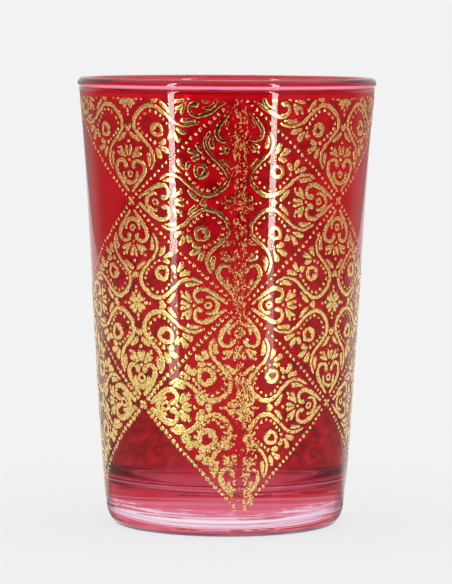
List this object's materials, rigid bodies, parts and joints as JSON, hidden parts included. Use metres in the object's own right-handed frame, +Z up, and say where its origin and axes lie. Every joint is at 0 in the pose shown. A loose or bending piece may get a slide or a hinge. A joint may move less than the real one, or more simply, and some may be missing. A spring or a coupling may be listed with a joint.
{
  "type": "moroccan tea glass",
  "caption": "Tapering tea glass: a thick-based clear tumbler with a ruby lacquer coat and a raised gold print of scrolls, hearts and leaves in a beaded trellis.",
  "frame": {"origin": "on the table plane, on the glass's axis", "axes": "+Z up the axis, -Y towards the viewer of the picture, whose side carries the print's seam"},
  "size_m": [0.0602, 0.0602, 0.09],
  "materials": {
    "clear_glass": "clear pressed soda-lime glass, fire polished at the lip",
    "ruby_lacquer": "thin transparent ruby lacquer baked on the outside, glossy, with ragged edges",
    "gold_print": "raised gold screen print, satin with bright tops and broken, speckled edges"
  },
  "bodies": {
    "root": {"glass_tumbler": "clear_glass", "ruby_coat": "ruby_lacquer", "trellis_beads": "gold_print", "crossing_flowers": "gold_print", "scroll_bands": "gold_print", "ring_dots": "gold_print", "rosebuds": "gold_print", "calyx_leaves": "gold_print", "spray_leaves": "gold_print", "heart_volutes": "gold_print", "heart_cups": "gold_print", "heart_buds": "gold_print", "palmettes": "gold_print", "palmette_dots": "gold_print", "comma_leaves": "gold_print", "twin_leaves": "gold_print", "small_hearts": "gold_print", "centre_stars": "gold_print", "star_dots": "gold_print"}
  },
  "joints": []
}
